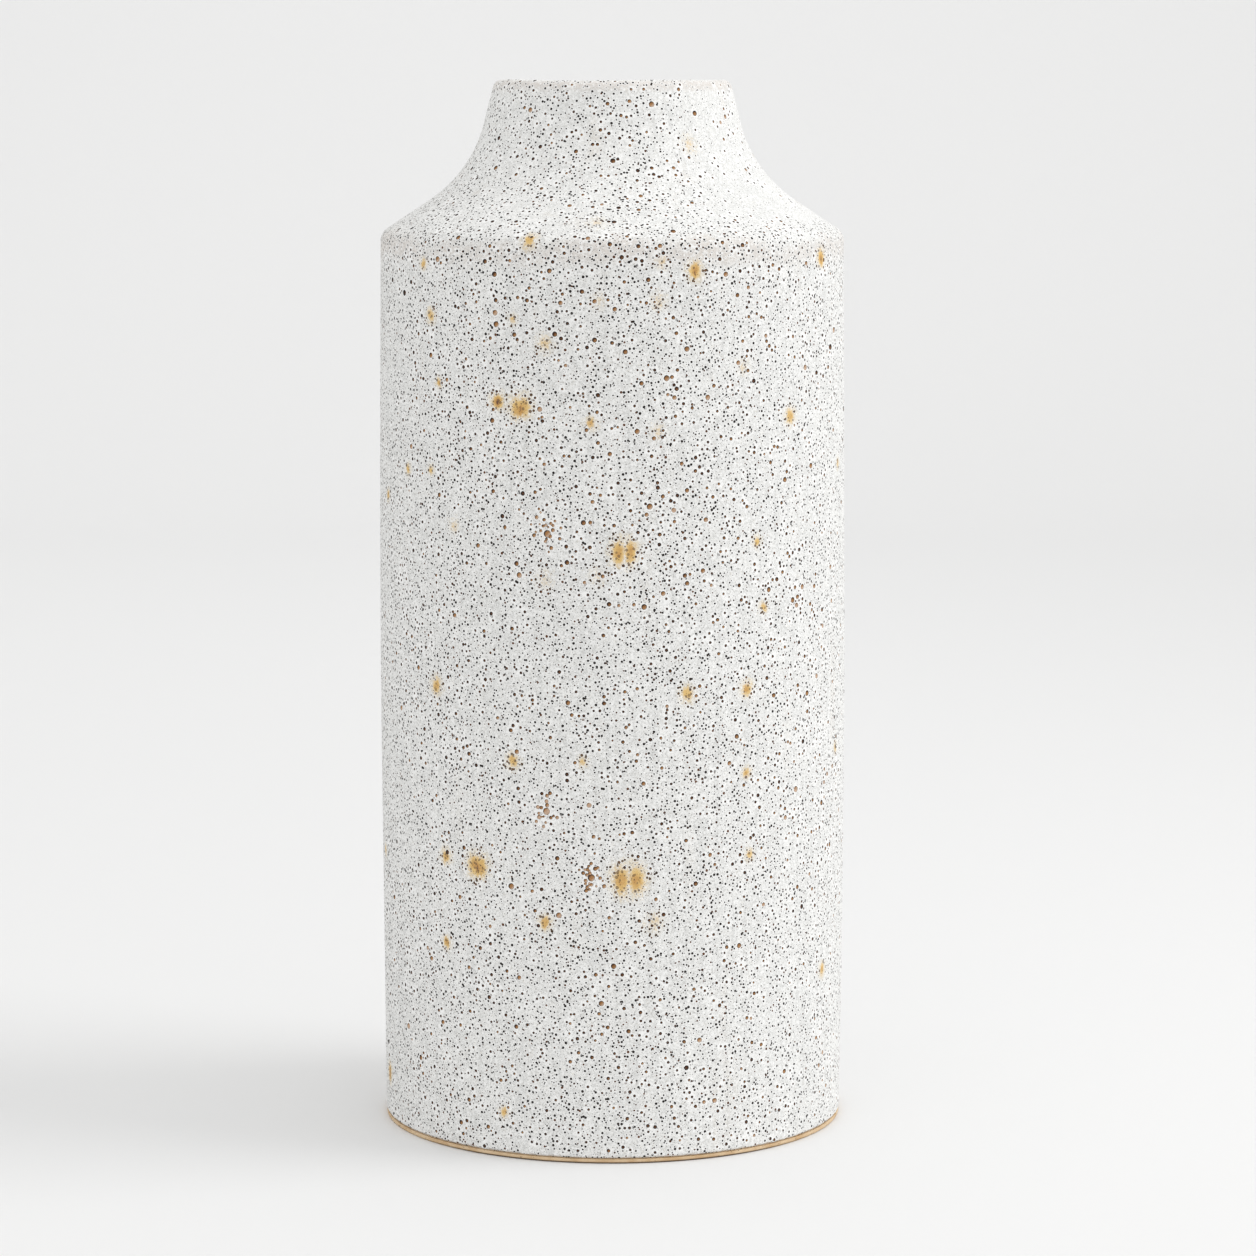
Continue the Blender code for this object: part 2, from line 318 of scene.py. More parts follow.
bursts = []                          # angle, distance, radius, tone, depth share
for cluster_angle, height, half, count in CRUSTS:
    middle = distance_at(height * MM)
    radius = at(middle, path[:, 0])
    for number in range(count):
        size = 1.5 if number == 0 else scatter.uniform(0.45, 0.95)
        reach = 0.2 if number == 0 else 1.0
        across, upright = scatter.normal(0, 0.5 * half * reach * MM, 2)
        bursts.append((math.radians(cluster_angle) + across / radius, middle + 1.25 * upright,
                       size * MM, scatter.uniform(0.45, 1.0), 0.34))
for lone_angle, height, size in LONE_BURSTS:
    bursts.append((math.radians(lone_angle), float(distance_at(height * MM)), size * MM,
                   scatter.uniform(0.35, 0.70), 0.5))
for smallest, largest, density in BURST_BANDS:
    count = int(density * AREA * 1e4)
    angles, distances = chance_places(count, FIRST_BURST, LAST_BURST)
    for angle, distance in zip(angles, distances):
        radius = scatter.uniform(smallest, largest)
        shade = np.clip(scatter.normal(0.10 + 0.80 * (radius - 0.5), 0.22), 0, 1)
        bursts.append((angle, distance, radius * MM, shade, scatter.uniform(0.42, 0.56)))

# %% Keep the bursts that don't crowd each other
CROWDING = 1.1                       # of the sum of two radii
CRUST_CROWDING = 0.72
CELL = 4 * MM
CLEAR_FROM = 4.5                     # iron spots this wide in mm hold no bursts
CLEAR_SHARE = 0.7                    # of the spot's size, kept clear round its middle
kept_bursts = []
near = {}
clear_spots = []
for spot_angle, height, size, strength in IRON_SPOTS:
    if size > CLEAR_FROM and strength > 0.5:
        spot_middle = on_pot(math.radians(spot_angle), distance_at(height * MM))[0]
        clear_spots.append((spot_middle, CLEAR_SHARE * size * MM))
in_crust = sum(count for _, _, _, count in CRUSTS)
for number, burst in enumerate(bursts):
    crowding = CRUST_CROWDING if number < in_crust else CROWDING
    place = on_pot(burst[0], burst[1])[0]
    if any(math.dist(place, spot) < clear for spot, clear in clear_spots):
        continue
    home = tuple(int(c // CELL) for c in place)
    rivals = [other for dx in (-1, 0, 1) for dy in (-1, 0, 1) for dz in (-1, 0, 1)
              for other in near.get((home[0] + dx, home[1] + dy, home[2] + dz), ())]
    if all(math.dist(place, other) > crowding * (burst[2] + radius) for other, radius in rivals):
        near.setdefault(home, []).append((place, burst[2]))
        kept_bursts.append(burst)
burst_angle, burst_distance, burst_radius, burst_tone, burst_depth = np.array(kept_bursts).T
print(len(kept_bursts), "bursts cut into the glaze, of", len(bursts), "tried")

# %% [markdown]
# ## The glaze skin
#
# The skin is one sheet of points joined up by a Delaunay triangulation in the map of angle
# against turn distance. An even grid fine enough for a one millimetre pit would need millions of
# points. Instead a coarse, slightly shaken lattice covers the quiet glaze, rings of points go
# round each burst, and a finer lattice lies under each iron spot.

# %% Points on the quiet glaze
LATTICE = 2.2 * MM
CHORD = 0.018 * MM                   # how far a flat facet may leave the outline
row_step = np.clip(np.sqrt(8 * CHORD / (bend + 1e-9)), 0.25 * MM, 0.86 * LATTICE)
lattice = []
row = 0.0
count_rows = 0
while row < LENGTH:
    step = float(at(row, row_step))
    across = min(LATTICE, max(1.25 * MM, 1.3 * step))
    many = round(2 * math.pi * float(at(row, path[:, 0])) / across)
    turn_step = 2 * math.pi / many
    angles = -math.pi + turn_step * (np.arange(many) + 0.5 * (count_rows % 2))
    shake = 0.18 if 0 < row and step > 0.6 * MM else 0.0
    angles += shake * turn_step * scatter.uniform(-1, 1, many)
    distances = row + shake * step * scatter.uniform(-1, 1, many)
    lattice.append(np.column_stack((angles, distances)))
    row += step
    count_rows += 1
turn_step = 2 * math.pi / 300
lattice.append(np.column_stack((-math.pi + turn_step * np.arange(300), np.full(300, LENGTH))))
lattice = np.concatenate(lattice)
print(len(lattice), "lattice points in", count_rows, "rows")

# %% Finer lattice under the iron spots
SPOT_LATTICE = 0.55 * MM
SPOT_PATCH = 1.5                     # of the spot's radius
SPOT_RADIUS = 0.76                   # of the spot's size
iron_angle = np.radians([spot[0] for spot in IRON_SPOTS])
iron_distance = distance_at(np.array([spot[1] for spot in IRON_SPOTS]) * MM)
iron_radius = np.array([spot[2] for spot in IRON_SPOTS]) * MM * SPOT_RADIUS
iron_strength = np.array([spot[3] for spot in IRON_SPOTS])


def tree_of(places):
    """A search tree over places in space."""
    tree = KDTree(len(places))
    for index, place in enumerate(places):
        tree.insert(place, index)
    tree.balance()
    return tree


def without_near(points, middles, reaches):
    """The points that lie outside every reach round its middle."""
    tree = tree_of(on_pot(points[:, 0], points[:, 1])[0])
    keep = np.ones(len(points), bool)
    for middle, reach in zip(middles, reaches):
        for _, index, _ in tree.find_range(middle, reach):
            keep[index] = False
    return points[keep]


iron_middle = on_pot(iron_angle, iron_distance)[0]
patches = [without_near(lattice, iron_middle, SPOT_PATCH * iron_radius)]
for angle, distance, radius in zip(iron_angle, iron_distance, iron_radius):
    half = int(SPOT_PATCH * radius / SPOT_LATTICE) + 1
    columns, rows = np.meshgrid(np.arange(-half, half + 1), np.arange(-half, half + 1))
    across = SPOT_LATTICE * (columns + 0.5 * (rows % 2)).ravel()
    upright = SPOT_LATTICE * 0.87 * rows.ravel()
    inside = np.hypot(across, upright) < SPOT_PATCH * radius
    inside &= distance + upright < LENGTH - 2 * MM
    across, upright = across[inside], upright[inside]
    turn = across / at(distance, path[:, 0])
    patches.append(np.column_stack((angle + turn, distance + upright)))
quiet = np.concatenate(patches)
print(len(quiet), "points with the spots' own")

# %% Rings of points round the bursts
# Rings as share of the burst's radius and number of points, for each size of burst.
RINGS = [
    (0.85 * MM, ((0.0, 1), (0.42, 7), (0.78, 11), (1.0, 14), (1.22, 14), (1.6, 12))),
    (0.65 * MM, ((0.0, 1), (0.55, 6), (0.95, 10), (1.35, 9))),
    (0.0, ((0.0, 1), (0.75, 6), (1.22, 8))),
]
burst_middle = on_pot(burst_angle, burst_distance)[0]
outer_ring = np.where(burst_radius > RINGS[1][0], 1.8, 1.7)
outer_ring = np.where(burst_radius > RINGS[0][0], 1.95, outer_ring)
quiet = without_near(quiet, burst_middle, outer_ring * burst_radius)

ring_points = []
for angle, distance, radius in zip(burst_angle, burst_distance, burst_radius):
    rings = next(rings for smallest, rings in RINGS if radius >= smallest)
    round_start = scatter.uniform(0, 2 * math.pi)
    for share, many in rings:
        bearing = round_start + 2 * math.pi * (np.arange(many) + 0.5 * (share > 0.9)) / many
        upright = distance + share * radius * np.sin(bearing)
        turn = share * radius * np.cos(bearing) / at(distance, path[:, 0])
        ring_points.append(np.column_stack((angle + turn, upright)))
skin_points = np.concatenate([quiet] + ring_points)
skin_points[:, 0] = (skin_points[:, 0] + math.pi) % (2 * math.pi) - math.pi
skin_points[:, 1] = np.clip(skin_points[:, 1], 0, LENGTH)
print(len(skin_points), "points on the skin")

# %% [markdown]
# The sheet has to close on itself at the back. Points near the seam are repeated on the far side
# of the map, one full turn away. The triangulation then runs on past both ends, and only the
# triangles whose middles lie within one turn are kept.

# %% Join the points into triangles
OVERLAP = 0.25                       # radians of repeated points on each side
MIN_GAP = 1e-9
flat = np.column_stack((skin_points[:, 0], at(skin_points[:, 1], turning)))
source = np.arange(len(flat))
low_side = flat[:, 0] < -math.pi + OVERLAP
high_side = flat[:, 0] > math.pi - OVERLAP
whole_turn = np.array((2 * math.pi, 0.0))
mapped = np.concatenate((flat, flat[low_side] + whole_turn, flat[high_side] - whole_turn))
source = np.concatenate((source, source[low_side], source[high_side]))
joined = delaunay_2d_cdt([Vector(point) for point in mapped], [], [], 0, MIN_GAP)
first_source = np.array([source[origins[0]] for origins in joined[3]])
places_in_map = np.array([tuple(place) for place in joined[0]])
corners = np.array(joined[2])
middle_turn = places_in_map[corners][:, :, 0].mean(axis=1)
corners = first_source[corners[(middle_turn >= -math.pi) & (middle_turn < math.pi)]]
distinct = (corners[:, 0] != corners[:, 1]) & (corners[:, 1] != corners[:, 2])
distinct &= corners[:, 2] != corners[:, 0]
corners = corners[distinct]
print(len(corners), "triangles in the skin")

# %% [markdown]
# ## Relief
#
# The clay under the glaze was scraped in upright strokes, so the straight body has faint flutes
# about seven millimetres apart, deeper in some places than in others. A sum of waves whose
# turns go a whole number of times round the pot has no seam. Its slope comes from small
# differences, and tilts the normals exactly even where the mesh is coarse.

# %% Flutes and slow swell
FLUTES = [(89, 0.17, 1.7), (61, 0.08, 0.4), (131, 0.08, 2.6), (44, 0.05, 4.0)]
SWELLS = [(2, 0.16, 5.0, 0.3), (3, 0.12, -8.0, 1.9), (5, 0.08, 14.0, 4.4), (0, 0.10, 26.0, 1.0)]


def relief(angle, distance):
    """Height of the hand-worked surface over the smooth one."""
    height = at(distance, path[:, 1])
    on_straight = np.clip((height - 12 * MM) / (30 * MM), 0, 1)
    on_straight *= np.clip((SHOULDER_HEIGHT - 8 * MM - height) / (40 * MM), 0, 1)
    fading = 0.3 * np.sin(3 * angle + 9 * distance) + 0.3 * np.sin(5 * angle - 17 * distance + 2)
    fading = np.clip(0.55 + fading, 0, 1.2)
    total = sum(depth * np.cos(turns * angle + 1.1 * np.sin(7 * distance + shift) + shift)
                for turns, depth, shift in FLUTES)
    total = total * on_straight * fading
    total += sum(depth * np.cos(turns * angle + wave * distance + shift)
                 for turns, depth, wave, shift in SWELLS) * np.clip(height / (40 * MM), 0, 1) ** 2
    return total * MM


def slope_of(surface, angle, distance):
    """Slope of a height round and up the pot."""
    nudge = 0.05 * MM
    turn = nudge / at(distance, path[:, 0])
    rise_round = (surface(angle + turn, distance) - surface(angle - turn, distance)) / (2 * nudge)
    rise_up = (surface(angle, distance + nudge) - surface(angle, distance - nudge)) / (2 * nudge)
    return rise_round, rise_up


angle, distance = skin_points.T
place, out, around, up = on_pot(angle, distance)
height = relief(angle, distance)
rise_round, rise_up = slope_of(relief, angle, distance)
slope = rise_round[:, None] * around + rise_up[:, None] * up
print("relief from", round(height.min() / MM, 2), "to", round(height.max() / MM, 2), "mm")

# %% [markdown]
# Each burst is a bowl with a flat floor, a smooth wall and a low raised rim, where the bubble's
# skin drew back. A point belongs to the burst whose edge it is nearest to, measured in that
# burst's own radius. The same share of the radius is kept on the mesh, for the finish to colour.

# %% Cut the bursts
FLAT_FLOOR = 0.2                     # of the radius
RIM_MIDDLE = 1.22
RIM_WIDTH = 0.34
RIM_HEIGHT = 0.045
REACH = 1.65
OVER_CLAY = 0.07 * MM                # the deepest floors stop this far above the clay
share = np.full(len(place), 9.0)
owner = np.zeros(len(place), int)
tree = tree_of(place)
for index, (middle, radius) in enumerate(zip(burst_middle, burst_radius)):
    for _, point, away in tree.find_range(middle, REACH * radius):
        if away / radius < share[point]:
            share[point] = away / radius
            owner[point] = index

reach = burst_radius[owner]
fall = np.clip((share - FLAT_FLOOR) / (1 - FLAT_FLOOR), 0, 1)
bowl = -burst_depth[owner] * reach * (1 - fall * fall * (3 - 2 * fall))
bowl_slope = burst_depth[owner] * 6 * fall * (1 - fall) / (1 - FLAT_FLOOR)
rim_share = np.clip((share - RIM_MIDDLE) / RIM_WIDTH, -1, 1)
rim = RIM_HEIGHT * reach * (1 - rim_share ** 2) ** 2
rim_slope = RIM_HEIGHT * -4 * rim_share * (1 - rim_share ** 2) / RIM_WIDTH
in_reach = share < REACH
height += np.where(in_reach, bowl + rim, 0)
height = np.maximum(height, OVER_CLAY - CLAY_DEPTH)
from_middle = place - burst_middle[owner]
from_middle -= np.sum(from_middle * out, axis=1)[:, None] * out
from_middle /= np.linalg.norm(from_middle, axis=1)[:, None] + 1e-9
slope += np.where(in_reach, bowl_slope + rim_slope, 0)[:, None] * from_middle

skin_place = place + height[:, None] * out
skin_normal = out - slope
skin_normal /= np.linalg.norm(skin_normal, axis=1)[:, None]
print("deepest burst", round(-height.min() / MM, 2), "mm; clay lies at", round(CLAY_DEPTH / MM, 2))

# %% [markdown]
# ## Where the colours lie
#
# Six numbers ride on every point: how far inside a burst it is, its floor's tone from black to
# tan with painted light making each floor lighter on its lower right, how much iron shows, how
# wide its fringe of pores is, how thin the glaze lies over an edge, and how far painted light thins
# the pores where the light falls brightest: on the neck and shoulder and on the right side of the
# body. The finish turns them into colour, so that speckle stays finer than the mesh.

# %% Iron, fringe and thin glaze
LIT_SIDE_LEAN = 0.38                     # painted light: each burst's floor is lighter on its lower right and darker on its upper left
burst_mark = np.where(in_reach, np.clip(1 - share / REACH, 0, 1), 0)
lower_right = np.sum(from_middle * (around - up), axis=1) / math.sqrt(2) * np.clip(share, 0, 1)
# Painted light: a floor's tone lifts towards its lower right side.
tone_with_painted_light = np.clip(burst_tone[owner] + LIT_SIDE_LEAN * lower_right, 0, 1)
tone_and_painted_light_mark = np.where(in_reach, tone_with_painted_light, 0)
iron_mark = np.zeros(len(place))
fringe_mark = np.zeros(len(place))
LOBES = 2
CLEFT_FROM = 2.8 * MM                # a big spot splits down the middle
TWIN_FROM = 4.5 * MM                 # and the biggest are two spots side by side
LOBE_GAPS = [(TWIN_FROM, 1.1), (3.7 * MM, 0.75), (0.0, 0.35)]
CLEFT_WIDTH = 0.60 * MM
CLEFT_SHARE = 0.9
IRON_REACH = 3.4                     # of the spot's radius
for middle, radius, strength in zip(iron_middle, iron_radius, iron_strength):
    near_points = [(point, away) for _, point, away in tree.find_range(middle, IRON_REACH * radius)]
    if not near_points:
        continue
    index = np.array([point for point, _ in near_points])
    offset = place[index] - middle
    across = np.sum(offset * around[index], axis=1)
    upright = np.sum(offset * up[index], axis=1)
    blot = np.zeros(len(index))
    gap = next(gap for smallest, gap in LOBE_GAPS if radius >= smallest)
    for lobe in range(LOBES):
        side = (lobe - 0.5) * radius * gap
        drop = scatter.uniform(-0.25, 0.25) * radius
        wide = scatter.uniform(0.58, 0.72) * radius * (0.85 if gap > 1 else 1.0)
        tall = scatter.uniform(0.90, 1.15) * radius
        lobe_blot = np.exp(-((across - side) / wide) ** 2 - ((upright - drop) / tall) ** 2)
        blot = np.maximum(blot, lobe_blot)
    if CLEFT_FROM < radius * strength < TWIN_FROM:
        below = (upright + 0.3 * radius) / (0.6 * radius)
        blot += CLEFT_SHARE * np.exp(-(across / CLEFT_WIDTH) ** 2 - below ** 2)
    away = np.hypot(across, upright) / radius
    iron_mark[index] = np.maximum(iron_mark[index], strength * blot)
    fringe = np.exp(-((away - 1.2) / 0.70) ** 2)
    fringe_mark[index] = np.maximum(fringe_mark[index], (0.35 + 0.65 * strength) * fringe)

skin_height = at(distance, path[:, 1])
below_edge = (SHOULDER_HEIGHT - 5 * MM - skin_height) / (7 * MM)
ragged = 0.35 * np.sin(4 * angle + 1) + 0.25 * np.sin(11 * angle + 2) + 0.2 * np.sin(23 * angle)
thin_mark = np.exp(-(below_edge + 0.5 * ragged) ** 2) * (0.75 + 0.25 * ragged)
over_lip = (distance - distance_at(HEIGHT - 2 * LIP_HALF)) / LIP_HALF
thin_mark = np.maximum(thin_mark, 0.8 * np.exp(-((over_lip - 1.6) / 0.9) ** 2))
at_foot = np.exp(-(skin_height - GLAZE_LINE) / (1.2 * MM))
thin_mark = np.maximum(thin_mark, 0.9 * at_foot)
# Painted light: the pores are thinned where the light falls brightest, on the neck and shoulder
# above the edge, more on the right, and on the right side of the body.
on_neck = np.clip((skin_height - SHOULDER_HEIGHT) / (8 * MM), 0, 1)
to_right = np.clip(1.6 * np.sin(angle) - 0.3, 0, 1)
painted_light_side = 0.7 * np.clip(1.6 * np.sin(angle) - 0.6, 0, 1)
painted_light_thinning_mark = np.maximum((0.6 + 0.4 * to_right) * on_neck, painted_light_side)
MARKS = {"burst": burst_mark, "tone": tone_and_painted_light_mark, "iron": iron_mark, "fringe": fringe_mark,
         "thin": thin_mark, "lit_pore_thinning": painted_light_thinning_mark}
for name, mark in MARKS.items():
    print("mark", name, "mean", round(float(mark.mean()), 3), "most", round(float(mark.max()), 2))

# %% [markdown]
# The skin is handed to Blender as twelve upright staves, like those of a barrel. They share their
# edge points and their normals, so no seam shows, and each stave is small enough for its finish
# to be kept in fine detail when the model is saved with its colours.

# %% Make the staves
STAVES = 12
vase = bpy.data.collections.new("vase_finish")
bpy.context.scene.collection.children.link(vase)


def add_piece(name, points, faces, marks=None, normals=None):
    """A smooth mesh piece of the vase, with its marks and normals."""
    mesh = bpy.data.meshes.new(name)
    mesh.from_pydata(points.tolist(), [], faces)
    mesh.shade_smooth()
    for mark_name, values in (marks or {}).items():
        mark = mesh.attributes.new(mark_name, "FLOAT", "POINT")
        mark.data.foreach_set("value", np.ascontiguousarray(values, np.float32))
    if normals is not None:
        mesh.normals_split_custom_set_from_vertices(normals.tolist())
    piece = bpy.data.objects.new(name, mesh)
    vase.objects.link(piece)
    return piece


middle_place = place[corners].mean(axis=1)
stave_of = np.arctan2(middle_place[:, 0], -middle_place[:, 1]) + math.pi
stave_of = np.minimum((stave_of / (2 * math.pi) * STAVES).astype(int), STAVES - 1)
staves = []
for number in range(STAVES):
    own = corners[stave_of == number]
    used, faces = np.unique(own, return_inverse=True)
    marks = {name: mark[used] for name, mark in MARKS.items()}
    stave = add_piece(f"crater_glaze_{number + 1:02d}", skin_place[used],
                      faces.reshape(-1, 3).tolist(), marks, skin_normal[used])
    staves.append(stave)
print(STAVES, "staves of about", len(corners) // STAVES, "triangles")

# %% [markdown]
# ## Writing finishes as sums
#
# A finish is a small program of nodes. Wiring it by hand hides the thought, so a socket is
# wrapped in a class that understands plus, minus, times and powers: an expression on masks then
# adds its own Math nodes. Colours never pass through them, as that would turn them grey; they
# go through Mix nodes.

# %% Values on sockets
class Value:
    """A number that changes over the surface, held as a node's output."""

    def __init__(self, finish, socket):
        self.finish = finish
        self.socket = socket

    def math(self, operation, *inputs):
        sockets = dict(enumerate(inputs))
        return self.finish.node("ShaderNodeMath", {"operation": operation}, sockets)

    def __add__(self, other):
        return self.math("ADD", self, other)

    def __sub__(self, other):
        return self.math("SUBTRACT", self, other)

    def __rsub__(self, other):
        return self.math("SUBTRACT", other, self)

    def __mul__(self, other):
        return self.math("MULTIPLY", self, other)

    def __pow__(self, other):
        return self.math("POWER", self, other)

    def most(self, other):
        return self.math("MAXIMUM", self, other)

    __radd__ = __add__
    __rmul__ = __mul__


# %% A finish
HALO = 0.75                          # how far a halo goes, as share of the widest pit
SHAKE = 0.88                         # how far a ball may stray in its cell
CORNER_UP = (math.radians(45), math.radians(35.3), 0)    # stands the cells on a corner


class Finish:
    """One material, and the nodes that feed its shader."""

    def __init__(self, name, **constants):
        self.material = bpy.data.materials.new(name)
        self.material.use_nodes = True
        self.nodes = self.material.node_tree.nodes
        self.links = self.material.node_tree.links
        self.shader = self.nodes["Principled BSDF"]
        for socket, value in constants.items():
            self.shader.inputs[socket.replace("_", " ")].default_value = value
        self.place = self.node("ShaderNodeTexCoord", output="Object")

    def feed(self, socket, value):
        """Puts a value, or the link of one, on a socket."""
        if isinstance(value, Value):
            self.links.new(value.socket, socket)
        elif socket.type == "RGBA":
            socket.default_value = (*value, 1.0)
        else:
            socket.default_value = value

    def node(self, kind, settings=None, sockets=None, output=0):
        """Any node: its settings first, then what its sockets hold."""
        made = self.nodes.new(kind)
        for name, setting in (settings or {}).items():
            setattr(made, name, setting)
        for name, value in (sockets or {}).items():
            self.feed(made.inputs[name], value)
        return Value(self, made.outputs[output])

    def end(self, **sockets):
        """Joins the finish's results to its shader."""
        for name, value in sockets.items():
            self.feed(self.shader.inputs[name.replace("_", " ")], value)
        return self.material

    def mark(self, name):
        """A number that rides on the mesh."""
        return self.node("ShaderNodeAttribute", {"attribute_name": name}, output="Fac")

    def ease(self, value, low, high, start=0.0, finish=1.0):
        """A smooth step from one number to another as a value climbs from low to high."""
        sockets = {"Value": value, "From Min": low, "From Max": high,
                   "To Min": start, "To Max": finish}
        return self.node("ShaderNodeMapRange", {"interpolation_type": "SMOOTHSTEP"}, sockets)

    def cloud(self, size, detail=2.0, stretch=None):
        """Soft noise whose blotches are about this size, from 0 to 1."""
        place = self.place
        if stretch is not None:
            sockets = {0: place, 1: stretch}
            place = self.node("ShaderNodeVectorMath", {"operation": "MULTIPLY"}, sockets)
        sockets = {"Vector": place, "Scale": 1 / size, "Detail": detail, "Roughness": 0.6}
        return self.node("ShaderNodeTexNoise", None, sockets)

    def blend(self, share, first, second):
        """The first colour turning into the second as the share goes from 0 to 1."""
        sockets = {"Factor": share, 6: first, 7: second}
        return self.node("ShaderNodeMix", {"data_type": "RGBA"}, sockets, output=2)

    def scattered(self, cell, smallest, largest, edge, grow=None):
        """Round pits where chance balls, one to a cell of space, cut the surface.

        The cells stand on a corner, so that no upright wall runs along a layer of them. Gives how
        far inside a pit a place is, how far inside its halo, and the pit's own number.
        """
        voronoi = {"voronoi_dimensions": "3D", "feature": "F1"}
        tilted = self.node("ShaderNodeVectorRotate", {"rotation_type": "EULER_XYZ"},
                           {"Vector": self.place, "Rotation": CORNER_UP})
        sockets = {"Vector": tilted, "Scale": 1 / cell, "Randomness": SHAKE}
        balls = self.node("ShaderNodeTexVoronoi", voronoi, sockets)
        colour = Value(self, balls.socket.node.outputs["Color"])
        own = self.node("ShaderNodeSeparateColor", None, {"Color": colour}, output="Red")
        chance = self.node("ShaderNodeSeparateColor", None, {"Color": colour}, output="Green")
        away = balls * cell
        radius = chance * chance * (largest - smallest) + smallest
        if grow is not None:
            radius = radius * grow
        inside = self.ease(away - radius, edge, -edge)
        halo = self.ease(away - radius, HALO * largest + edge, 0.0)
        return inside, halo, own


# %% [markdown]
# ## The crater glaze
#
# Seen close, the white is a dry, sugary white full of pores. From fine to coarse it needs: faint
# grey grain, hair-fine pores, small pinholes painted near-black as shade in the hole, with a pale
# painted highlight round them where the glaze drew back into a rim, and the mesh's own bursts,
# whose walls are painted near-black as shade and whose floors run from umber to tan as they get
# wider. Ochre iron bleeds in as speckle, and where the glaze ran thin over an edge the pink-beige
# clay warms it. The pores and pinholes that darken the colour also dent the surface.

# %% Crater glaze: ground and pores
crater = Finish("crater_glaze", Specular_IOR_Level=0.35, Coat_Roughness=0.5)
WHITE = (0.895, 0.895, 0.88)
GREY_WHITE = (0.755, 0.76, 0.75)
GRAIN_GREY = (0.55, 0.55, 0.535)
RIM_HIGHLIGHT_WHITE = (0.97, 0.97, 0.96)
THIN_BEIGE = (0.69, 0.635, 0.59)
WARM_TAN = (0.66, 0.56, 0.44)
PORE_GREY = (0.24, 0.225, 0.205)
PAINTED_SHADE_BLACK = (0.016, 0.012, 0.010)
IRON_PORE = (0.20, 0.115, 0.05)
UMBER = (0.135, 0.048, 0.016)
TAN = (0.43, 0.215, 0.080)
PINK_CLAY = (0.60, 0.43, 0.31)
STAIN = (0.78, 0.66, 0.44)
OCHRE = (0.78, 0.53, 0.19)
RUST = (0.58, 0.31, 0.08)

burst, tone = crater.mark("burst"), crater.mark("tone")
iron, fringe = crater.mark("iron"), crater.mark("fringe")
thin, lit_pore_thinning = crater.mark("thin"), crater.mark("lit_pore_thinning")

mottle = crater.cloud(11 * MM, 3.0)
grain = crater.cloud(0.80 * MM, 2.0)
stroke_relief_and_shade = crater.cloud(2.4 * MM, 2.0, (1.0, 1.0, 0.05))
ground = crater.blend(crater.ease(mottle, 0.35, 0.68, 0.0, 0.45), WHITE, GREY_WHITE)
# Upright grey streaks: painted shade of the scraped strokes' relief; the same noise also lifts them
# in the bump.
ground = crater.blend(crater.ease(stroke_relief_and_shade, 0.48, 0.68, 0.0, 0.70), ground, GREY_WHITE)
ground = crater.blend(crater.ease(grain, 0.44, 0.64, 0.0, 0.62), ground, GRAIN_GREY)

thin_speckle = crater.cloud(1.6 * MM, 2.0)
thin_share = crater.ease(thin * 1.1 + thin_speckle * 0.6, 0.55, 1.25, 0.0, 0.62)
ground = crater.blend(thin_share, ground, THIN_BEIGE)
streaks = crater.cloud(14 * MM, 2.0, (1.0, 1.0, 0.12))
ground = crater.blend(crater.ease(streaks, 0.60, 0.82, 0.0, 0.22), ground, WARM_TAN)

# %% Crater glaze: iron
speckle = crater.cloud(0.9 * MM, 3.0)
stain_share = crater.ease(fringe + (speckle - 0.5) * 1.6, 0.25, 1.2, 0.0, 0.45)
ground = crater.blend(stain_share, ground, STAIN)
iron_share = crater.ease(iron + (speckle - 0.5) * 0.8, 0.02, 0.72, 0.0, 0.97)
iron_tone = crater.cloud(3.2 * MM, 2.0)
iron_colour = crater.blend(crater.ease(iron + (iron_tone - 0.5) * 1.3, 0.45, 1.2), OCHRE, RUST)
iron_colour = crater.blend(crater.ease(iron + (speckle - 0.5) * 0.5, 1.15, 1.7), iron_colour, UMBER)
ground = crater.blend(iron_share, ground, iron_colour)

# %% Crater glaze: pinholes
# Painted light thins and shrinks the pores where the light falls brightest; iron fringes hold a few
# more.
more_pores = 1 + fringe * 0.15 - lit_pore_thinning * 0.08 - crater.ease(lit_pore_thinning, 0.62, 1.0, 0.0, 0.40)
hair, _, hair_own = crater.scattered(0.90 * MM, 0.14 * MM, 0.26 * MM, 0.04 * MM, 1 - lit_pore_thinning * 0.8)
pin, pin_rim_highlight, pin_own = crater.scattered(1.58 * MM, 0.34 * MM, 0.62 * MM, 0.03 * MM, more_pores)

# Painted highlight: a pale ring round each pinhole, on the rim where the glaze drew back.
colour = crater.blend(pin_rim_highlight * 0.90 * (1 - iron_share), ground, RIM_HIGHLIGHT_WHITE)
pore_brown = crater.blend(iron_share.most(fringe * 0.6), PORE_GREY, IRON_PORE)
colour = crater.blend(hair * crater.ease(hair_own, 0.1, 0.9, 0.25, 0.95), colour, pore_brown)
# Pinholes are painted near-black as shade in the hole; some show umber clay.
pin_dark = crater.blend(crater.ease(pin_own, 0.72, 1.0), PAINTED_SHADE_BLACK, UMBER)
pin_dark = crater.blend(iron_share.most(fringe * 0.7), pin_dark, IRON_PORE)
colour = crater.blend(pin * (1 - iron_share * 0.3), colour, pin_dark)

# %% Crater glaze: bursts
wobble = (crater.cloud(0.8 * MM, 1.0) - 0.5) * 0.10
depth_in = burst + wobble * crater.ease(burst, 0.05, 0.2)
EDGE = 1 - 1 / REACH
floor_colour = crater.blend(crater.ease(tone, 0.22, 0.62), UMBER, TAN)
floor_colour = crater.blend(crater.ease(tone, 0.66, 0.90), floor_colour, PINK_CLAY)
# Painted shade: a burst's wall is near-black; its floor shows its own tone from umber to tan.
floor_share = crater.ease(depth_in + tone * 0.32, EDGE + 0.22, EDGE + 0.42)
inside_colour = crater.blend(floor_share, PAINTED_SHADE_BLACK, floor_colour)
